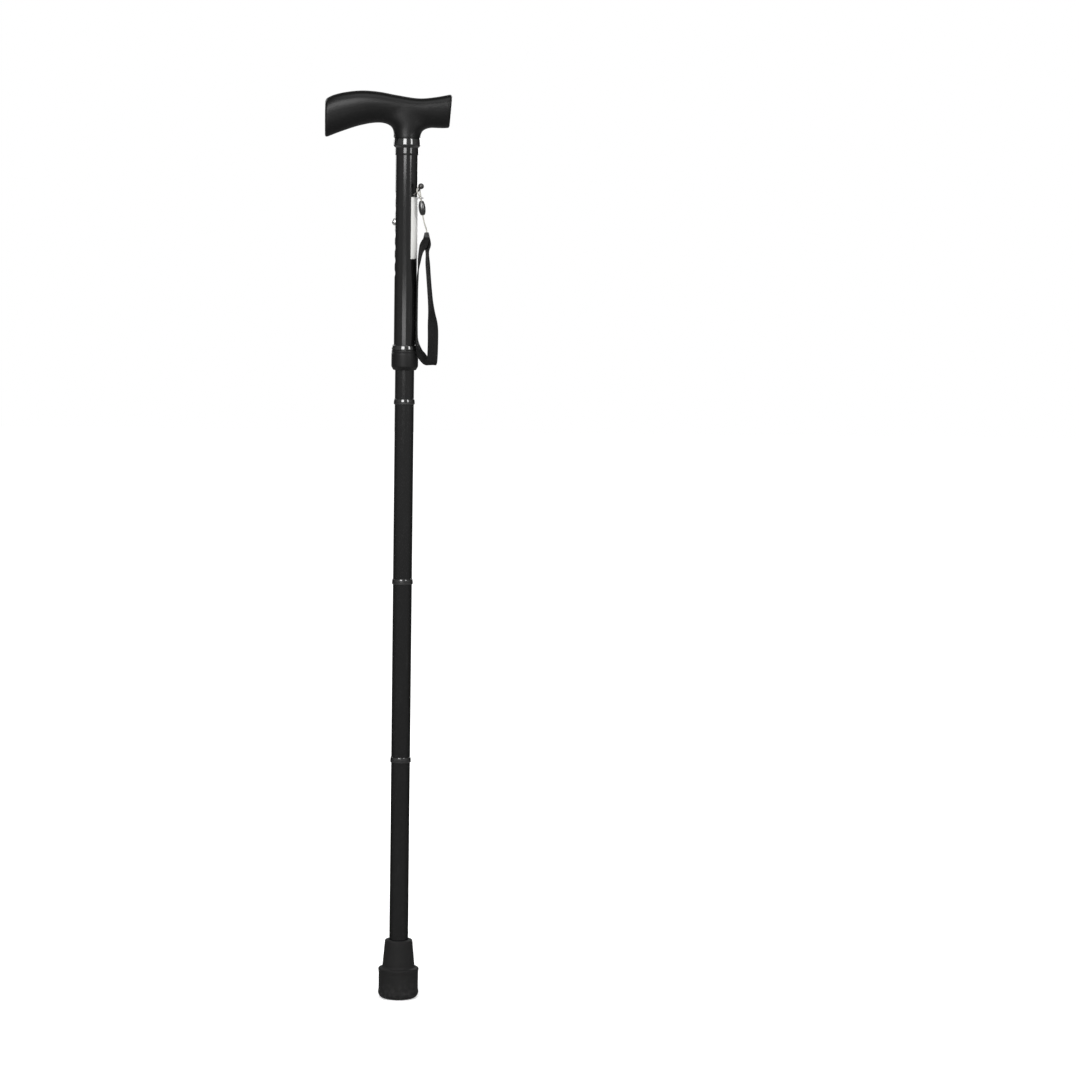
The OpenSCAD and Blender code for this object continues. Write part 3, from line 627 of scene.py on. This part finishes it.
def turn_rings():
    """Each ring in its place. The joint bands are one ring, copied."""
    collar = turn_ring("collar_turned", COLLAR, COLLAR_Z)
    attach(collar, "upper")
    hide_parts("neck_collar")
    skirt = turn_ring("collar_skirt", SKIRT, COLLAR_Z)
    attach(skirt, "upper")
    lip = turn_ring("lip_turned", LIP, LIP_Z)
    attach(lip, "upper")
    nut = turn_ring("nut_turned", NUT, NUT_Z)
    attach(nut, "lock_nut")
    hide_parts("lock_nut")
    first = turn_ring("joint_band_1", JOINT_RING, JOINT_Z[0])
    bands = [first]
    for number in (2, 3):
        mesh = first.data.copy()
        mesh.transform(Matrix.Translation((0, 0, (JOINT_Z[number - 1] - JOINT_Z[0]) * MM)))
        bands.append(new_piece(f"joint_band_{number}", mesh))
    for number, (band, body) in enumerate(zip(bands, ("inner", "section_2", "section_3")), 1):
        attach(band, body)
        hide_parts(f"joint_ring_{number}")
    return [collar, lip] + bands, skirt, nut


gloss_rings, skirt, nut = turn_rings()

# Finishes


class Value:
    """A shader value that Python's own operators work on."""

    def __init__(self, finish, socket):
        self.finish, self.socket = finish, socket

    def math(self, operation, *values):
        return self.finish.node("ShaderNodeMath", {"operation": operation}, dict(enumerate(values)))

    def __add__(self, other):
        return self.math("ADD", self, other)

    def __radd__(self, other):
        return self.math("ADD", other, self)

    def __sub__(self, other):
        return self.math("SUBTRACT", self, other)

    def __rsub__(self, other):
        return self.math("SUBTRACT", other, self)

    def __mul__(self, other):
        return self.math("MULTIPLY", self, other)

    def __rmul__(self, other):
        return self.math("MULTIPLY", other, self)

    def __truediv__(self, other):
        return self.math("DIVIDE", self, other)

    def __abs__(self):
        return self.math("ABSOLUTE", self)

    def root(self):
        return self.math("SQRT", self)

    def sine(self):
        return self.math("SINE", self)


class Finish:
    """The nodes of one procedural material, or of the world."""

    def __init__(self, owner):
        owner.use_nodes = True
        self.owner, self.tree = owner, owner.node_tree
        self.tree.nodes.clear()

    def node(self, kind, settings=None, sockets=None, out=0):
        made = self.tree.nodes.new(kind)
        for key, value in (settings or {}).items():
            setattr(made, key, value)
        for key, value in (sockets or {}).items():
            if isinstance(value, Value):
                self.tree.links.new(value.socket, made.inputs[key])
            else:
                made.inputs[key].default_value = value
        return Value(self, made.outputs[out]) if len(made.outputs) else None

    def place(self):
        return self.node("ShaderNodeTexCoord", out="Object")

    def weave_map(self):
        return self.node("ShaderNodeUVMap", {"uv_map": "weave"})

    def split(self, vector):
        parts = self.node("ShaderNodeSeparateXYZ", sockets={0: vector}).socket.node.outputs
        return [Value(self, part) for part in parts]

    def noise(self, at, scale, detail=2.0, rough=0.5, stretch=None):
        if stretch:
            at = self.node("ShaderNodeMapping", sockets={"Vector": at, "Scale": stretch})
        return self.node("ShaderNodeTexNoise", sockets={"Vector": at, "Scale": scale, "Detail": detail,
                                                        "Roughness": rough})

    def cells(self, at, scale, feature="F1"):
        return self.node("ShaderNodeTexVoronoi", {"feature": feature}, {"Vector": at, "Scale": scale})

    def step(self, value, low, high, start=0.0, end=1.0):
        return self.node("ShaderNodeMapRange", {"interpolation_type": "SMOOTHSTEP"},
                         {0: value, 1: low, 2: high, 3: start, 4: end})

    def mix(self, amount, first, second):
        return self.node("ShaderNodeMix", {"data_type": "RGBA"}, {0: amount, 6: first, 7: second}, out=2)

    def bump(self, height, strength, distance, under=None):
        sockets = {"Height": height, "Strength": strength, "Distance": distance}
        if under:
            sockets["Normal"] = under
        return self.node("ShaderNodeBump", sockets=sockets)

    def surface(self, **sockets):
        named = {key.replace("_", " "): value for key, value in sockets.items()}
        return self.show(self.node("ShaderNodeBsdfPrincipled", sockets=named))

    def show(self, shader):
        self.node("ShaderNodeOutputMaterial", sockets={"Surface": shader})
        return self.owner


def new_finish(name):
    return Finish(bpy.data.materials.new(name))


def grey(level, warmth=0.0):
    return (level * (1 + warmth), level, level * (1 - warmth), 1)


def tube_lacquer():
    """Black lacquer on drawn tube: fine lines along the tube, dust, faint rub marks."""
    f = new_finish("tube_lacquer")
    at = f.place()
    drawn = f.noise(at, 1, 3, stretch=(1500, 1500, 7))
    cloud = f.noise(at, 26, 3)
    peel = f.noise(at, 650, 2)
    rub = f.step(f.noise(at, 1, 2, stretch=(420, 420, 28)), 0.62, 0.78)
    dust = f.step(f.noise(at, 1300, 1), 0.7, 0.78) * f.step(cloud, 0.35, 0.7)
    relief = f.bump(peel * 0.6 + drawn * 0.4, 0.06, 0.0001)
    return f.surface(Base_Color=f.mix(dust * 0.5 + rub * 0.12, grey(0.005), grey(0.05)),
                     Roughness=0.05 + cloud * 0.06 + drawn * 0.05 + rub * 0.1 + dust * 0.3,
                     Normal=relief, Specular_IOR_Level=0.48)


def gloss_moulding(name, level=0.005, rough=0.06):
    """Polished black plastic with hairline marks."""
    f = new_finish(name)
    at = f.place()
    cloud = f.noise(at, 60, 3)
    hair = f.step(f.noise(at, 1, 2, stretch=(300, 300, 2600)), 0.66, 0.8)
    flow = f.noise(at, 240, 2)
    return f.surface(Base_Color=f.mix(hair * 0.2, grey(level), grey(0.05)),
                     Roughness=rough + cloud * 0.08 + hair * 0.15,
                     Normal=f.bump(flow, 0.03, 0.0001), Specular_IOR_Level=0.95)


def satin_moulding():
    """Satin black plastic of the lock nut, with a fine spark-worn grain and paler scratches."""
    f = new_finish("nut_plastic")
    at = f.place()
    grain = f.noise(at, 2600, 3, 0.6)
    cloud = f.noise(at, 45, 3)
    scratch = f.step(f.noise(at, 1, 2, stretch=(90, 90, 1900)), 0.64, 0.78)
    return f.surface(Base_Color=f.mix(scratch * 0.4 + cloud * 0.2, grey(0.005), grey(0.015)),
                     Roughness=0.36 + cloud * 0.12 + grain * 0.08,
                     Normal=f.bump(grain, 0.25, 0.00008), Specular_IOR_Level=0.22)


PALM_FROM, PALM_TO = 25, 45
SEAM_LINE, SEAM_EDGE = 0.12, 0.5


def handle_plastic():
    """Moulded handle: pebbled grain, hand-polished crown, parting seam along the middle."""
    f = new_finish("handle_plastic")
    at = f.place()
    _, y, z = f.split(at)
    pebble = f.cells(at, 1500, "SMOOTH_F1")
    fine = f.noise(at, 4200, 2, 0.6)
    cloud = f.noise(at, 38, 4)
    palm = f.step(z, (NECK_Z + PALM_FROM) * MM, (NECK_Z + PALM_TO) * MM) * f.step(cloud, 0.25, 0.6)
    seam = 1 - f.step(abs(y), SEAM_LINE * MM, SEAM_EDGE * MM)
    nick = f.step(f.noise(at, 1, 3, stretch=(160, 700, 900)), 0.68, 0.8)
    relief = f.bump(pebble * (0.8 - palm * 0.4) + fine * 0.35, 0.22, 0.00016)
    return f.surface(Base_Color=f.mix(nick * 0.25 + cloud * 0.15, grey(0.003), grey(0.01)),
                     Roughness=0.38 + cloud * 0.08 - palm * 0.09 + nick * 0.1,
                     Normal=f.bump(seam, 0.5, 0.00012, relief), Specular_IOR_Level=0.22)


def nylon_moulding():
    """Black nylon of the plugs and bushes, scraped along the tubes."""
    f = new_finish("plug_nylon")
    at = f.place()
    cloud = f.noise(at, 70, 3)
    grain = f.noise(at, 1900, 3)
    scrape = f.step(f.noise(at, 1, 2, stretch=(900, 900, 40)), 0.6, 0.75)
    return f.surface(Base_Color=f.mix(scrape * 0.5 + cloud * 0.2, grey(0.009), grey(0.035)),
                     Roughness=0.4 + cloud * 0.14, Normal=f.bump(grain + scrape * 0.4, 0.18, 0.0001))


def bright_steel(name, level, rough):
    """Plain steel with drawn lines, finger dulling and small pits."""
    f = new_finish(name)
    at = f.place()
    lines = f.noise(at, 1, 3, stretch=(500, 500, 3200))
    dull = f.noise(at, 180, 3)
    pits = f.step(f.noise(at, 1500, 1), 0.68, 0.76)
    stain = dull * 0.5 + pits * 0.4
    return f.surface(Base_Color=f.mix(stain, grey(level, 0.01), grey(level * 0.62, 0.02)), Metallic=1.0,
                     Roughness=rough + dull * 0.14 + lines * 0.08,
                     Normal=f.bump(lines - pits * 0.6, 0.1, 0.00008))


def dark_steel():
    """Blackened steel of the stud, bright where the strap rubs."""
    f = new_finish("stud_steel")
    at = f.place()
    patch = f.noise(at, 420, 3)
    worn = f.step(f.noise(at, 900, 3), 0.52, 0.72)
    return f.surface(Base_Color=f.mix(worn * 0.7, grey(0.07, 0.03), grey(0.36, 0.03)), Metallic=1.0,
                     Roughness=0.3 + patch * 0.16, Normal=f.bump(patch, 0.15, 0.0001))


BRAID_YARNS, BRAID_PITCH = 8, 5.2


def elastic_braid(name, around, along):
    """Braided sleeve over rubber strands: two sets of yarns that cross, dark with pale flecks."""
    f = new_finish(name)
    turn, run = around(f), along(f)
    yarns, lay = turn * BRAID_YARNS, run / (BRAID_PITCH * MM)
    ridge_a = abs(((yarns + lay) * math.pi).sine())
    ridge_b = abs(((yarns - lay) * math.pi).sine())
    over = ridge_a.math("MAXIMUM", ridge_a, ridge_b)
    fuzz = f.noise(f.place(), 3000, 2)
    fleck = f.step(ridge_a - ridge_b, 0.55, 0.8)
    return f.surface(Base_Color=f.mix(fleck * 0.8 + fuzz * 0.1, grey(0.02), grey(0.2, 0.02)),
                     Roughness=0.72 + fuzz * 0.15, Normal=f.bump(over + fuzz * 0.25, 0.7, 0.00035),
                     Sheen_Weight=0.25, Sheen_Roughness=0.4)


def map_across(f):
    return f.split(f.weave_map())[0]


def map_along(f):
    return f.split(f.weave_map())[1]


def axis_turn(f):
    x, y, _ = f.split(f.place())
    return y.math("ARCTAN2", y, x) / (2 * math.pi)


def axis_along(f):
    return f.split(f.place())[2]


STRANDS, TETHER_LAY, THREAD_LAY = 2, 2.4, 1.2


def laid_strands(f, lay):
    """Ridges of strands that are laid together, one for each so many millimetres."""
    turn, run, _ = f.split(f.weave_map())
    return abs(((turn * STRANDS + run / (lay * MM)) * math.pi).sine())


def tether_twist():
    """Two pale strands laid together, a little grubby, with painted shade in the grooves between them."""
    f = new_finish("tether_twist")
    lay = laid_strands(f, TETHER_LAY)
    fibre = f.noise(f.weave_map(), 1, 2, stretch=(60, 4000, 1))
    soil = f.noise(f.place(), 130, 3)
    # Soil darkens the cord at random; the (1 - lay) term is painted shade in the grooves between the strands.
    grime_and_groove_shade = f.step(soil, 0.4, 0.75) * 0.5 + (1 - lay) * 0.4
    return f.surface(Base_Color=f.mix(grime_and_groove_shade, (0.42, 0.41, 0.37, 1), (0.2, 0.19, 0.17, 1)),
                     Roughness=0.7 + fibre * 0.15, Normal=f.bump(lay + fibre * 0.3, 0.6, 0.0003),
                     Sheen_Weight=0.3, Sheen_Roughness=0.4)


WARP_YARNS, WEFT_PITCH = 15, 1.6


def webbing_weave():
    """Black woven tape: warp yarns along, weft ribs that step from yarn to yarn, and corded selvedges, with
    painted shade between the raised yarns.
    """
    f = new_finish("webbing_weave")
    across, along, _ = f.split(f.weave_map())
    lane = across * WARP_YARNS
    yarn = lane.math("FLOOR", lane)
    inside = lane - yarn - 0.5
    crown = 1 - inside * inside * 4
    odd = yarn.math("PINGPONG", yarn, 1.0)
    over = f.step(((along / (WEFT_PITCH * MM) + odd) * math.pi).sine(), -0.5, 0.8)
    edge = f.step(abs(across - 0.5), 0.44, 0.48)
    fibre = f.noise(f.weave_map(), 1, 2, stretch=(140, 2600, 1))
    lint = f.step(f.noise(f.place(), 900, 2), 0.68, 0.8)
    height = crown * (0.45 + over * 0.55) + fibre * 0.2 + edge * 0.4
    # Painted shade: the base colour is paler on the yarn crowns where the weft lies over, darker between them; the
    # lint is real.
    return f.surface(Base_Color=f.mix(over * crown * 0.55 + lint * 0.3, grey(0.003), grey(0.011)),
                     Roughness=0.56 + fibre * 0.18 + (1 - over) * 0.1, Normal=f.bump(height, 0.7, 0.0003),
                     Sheen_Weight=0.03, Sheen_Roughness=0.35, Specular_IOR_Level=0.16)


def whipping_thread():
    """Black twisted thread, paler on the strands' crowns and darker in the grooves between them: painted shade."""
    f = new_finish("whipping_thread")
    lay = laid_strands(f, THREAD_LAY)
    # Painted shade: the base colour follows the laid strands, dark in their grooves.
    return f.surface(Base_Color=f.mix(lay, grey(0.008), grey(0.04)), Roughness=0.6 + lay * 0.1,
                     Normal=f.bump(lay, 0.5, 0.0001), Sheen_Weight=0.2)


LABEL_BORDER, LABEL_SHADE_TURN = 1.2, (math.radians(60), math.radians(65))


def bare_label():
    """Bare white film label: faint streaks and fibres, a soiled border, and painted shade where it turns more than
    about 60 degrees from the tube's right side.
    """
    f = new_finish("bare_label")
    at = f.place()
    x, y, z = f.split(at)
    low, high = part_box("label")
    middle, half = (low.z + high.z) / 2, (high.z - low.z) / 2
    streak = f.noise(at, 1, 3, stretch=(260, 260, 9))
    fibre = f.noise(at, 1700, 3)
    border = f.step(abs(z - middle), half - LABEL_BORDER * MM, half)
    # Painted shade: the label is darkened where it turns 60 to 65 degrees and more away from the tube's right
    # side.
    side = f.step(abs(y.math("ARCTAN2", y, x)), *LABEL_SHADE_TURN)
    # The mix below holds streak and border soil together with the painted side shade.
    soil = f.step(streak, 0.5, 0.75) * 0.35 + border * 0.3 + side * 0.5
    return f.surface(Base_Color=f.mix(soil, (0.62, 0.62, 0.6, 1), (0.32, 0.32, 0.31, 1)),
                     Roughness=0.34 + fibre * 0.16, Normal=f.bump(streak + fibre * 0.2, 0.15, 0.0002))


DUST_FROM, DUST_FULL = 26, 1


def tip_rubber():
    """Matt moulded rubber: bloom, fine grain, floor dust on the foot, scuffs round its edge."""
    f = new_finish("tip_rubber")
    at = f.place()
    _, _, z = f.split(at)
    grain = f.noise(at, 2100, 3, 0.6)
    bloom = f.noise(at, 55, 4)
    low = f.step(z, DUST_FROM * MM, DUST_FULL * MM)
    dust = low * f.step(f.noise(at, 260, 4), 0.42, 0.72)
    scuff = f.step(f.noise(at, 1, 3, stretch=(500, 500, 120)), 0.62, 0.76) * low
    pale = dust * 0.35 + scuff * 0.25 + bloom * 0.25
    return f.surface(Base_Color=f.mix(pale, grey(0.0055), grey(0.045, 0.02)),
                     Roughness=0.62 + bloom * 0.14 + dust * 0.12,
                     Normal=f.bump(grain + scuff * 0.5, 0.3, 0.00012), Specular_IOR_Level=0.22)


FINISHES = {
    "handle": handle_plastic(),
    "gloss_black": gloss_moulding("ring_gloss"),
    "collar_black": satin_moulding(),
    "black_tube": tube_lacquer(),
    "nylon": nylon_moulding(),
    "steel": bright_steel("plain_steel", 0.56, 0.26),
    "button_steel": bright_steel("button_steel", 0.72, 0.14),
    "dark_steel": dark_steel(),
    "elastic": elastic_braid("elastic_in_tube", axis_turn, axis_along),
    "tether": tether_twist(),
    "bead": gloss_moulding("bead_gloss", 0.008, 0.16),
    "webbing": webbing_weave(),
    "label": bare_label(),
    "tip_rubber": tip_rubber()}


def wear(piece, finish):
    piece.data.materials.clear()
    piece.data.materials.append(finish)


for part in frame["record"]["subparts"]:
    wear(nodes[part["node"]], FINISHES[part["material_slot"]])
for piece, slot in ((handle, "handle"), (nut, "collar_black"), (skirt, "black_tube"), (spring, "steel"),
                    (tether, "tether"), (webbing, "webbing")):
    wear(piece, FINISHES[slot])
for ring in gloss_rings:
    wear(ring, FINISHES["gloss_black"])
wear(whipping, whipping_thread())
braid = elastic_braid("elastic_braid", map_across, map_along)
for cord in link_cords:
    wear(cord, braid)

# Studio

CAMERA_SIDE = math.radians(-90)
AMBIENT = 0.28


def ray_kinds(f):
    """Two masks: rays that see the backdrop itself, and rays that a glossy surface sends out."""
    rays = f.node("ShaderNodeLightPath").socket.node.outputs
    kinds = ("Is Camera Ray", "Is Transmission Ray", "Is Glossy Ray")
    camera, through, gloss = [Value(f, rays[kind]) for kind in kinds]
    return camera.math("MAXIMUM", camera, through), gloss


def white_world():
    """White room for the camera. Gloss sees it bright before the cane and straight behind, dim between."""
    scene.world = bpy.data.worlds.new("white_room")
    f = Finish(scene.world)
    seen, gloss = ray_kinds(f)
    _, back, up = f.split(f.node("ShaderNodeTexCoord", out="Generated"))
    walls = f.step(back, -0.7, 0.75, 0.5, 0.05) + f.step(back, 0.8, 0.97, 0.0, 0.45)
    ground = f.step(back, -0.35, 0.1) * f.step(up, -0.2, -0.45, 0.0, 0.35)
    room = walls * f.step(up, -0.17, -0.04, 0.6, 1.0) + ground
    sky = f.node("ShaderNodeBackground", sockets={
        "Color": (1, 1, 1, 1), "Strength": seen + gloss * room + (1 - seen - gloss) * AMBIENT})
    f.node("ShaderNodeOutputWorld", sockets={"Surface": sky})


def white_floor():
    """Pale floor that keeps the cane's shadow, and goes over into the white of the room."""
    floor = start_piece("studio_floor", bpy.ops.mesh.primitive_plane_add, size=14)
    f = new_finish("floor_white")
    at = f.place()
    x, y, _ = f.split(at)
    away = (x * x + y * y).root()
    fine = f.noise(at, 900, 2)
    matt = f.node("ShaderNodeBsdfDiffuse", sockets={"Color": f.mix(fine * 0.04, grey(0.9), grey(0.84))})
    glow = f.node("ShaderNodeEmission", sockets={
        "Color": (1, 1, 1, 1), "Strength": ray_kinds(f)[0] * (0.46 + f.step(away, 0.2, 0.9) * 0.54)})
    wear(floor, f.show(f.node("ShaderNodeAddShader", sockets={0: matt, 1: glow})))
    floor.visible_glossy = False


def soft_light(name, turn, distance, height, size, power, aim):
    """Area lamp at an angle from the camera's side, which faces the height aim on the cane's axis."""
    data = bpy.data.lights.new(name, "AREA")
    data.shape = "RECTANGLE"
    data.size, data.size_y = size
    data.energy = power
    lamp = bpy.data.objects.new(name, data)
    scene.collection.objects.link(lamp)
    a = CAMERA_SIDE + math.radians(turn)
    lamp.location = (distance * math.cos(a), distance * math.sin(a), height)
    lamp.rotation_mode = "QUATERNION"
    lamp.rotation_quaternion = (Vector((0, 0, aim)) - lamp.location).to_track_quat("-Z", "Y")


white_world()
white_floor()
soft_light("softbox_left", -18, 1.6, 1.37, (0.75, 1.1), 29, 1.37)
soft_light("softbox_right", 41, 1.6, 1.37, (0.36, 1.1), 12, 1.37)
soft_light("low_front", -12, 1.6, 0.592, (1.1, 0.075), 1.1, 0.592)
soft_light("back_left", 158, 1.8, 1.3, (0.5, 1.2), 9, 1.1)
soft_light("back_right", 212, 1.8, 1.3, (0.35, 1.2), 6, 1.1)
soft_light("overhead", 0, 0.5, 2.4, (1.2, 1.2), 8, 0.6)
scene.view_settings.view_transform = "Standard"
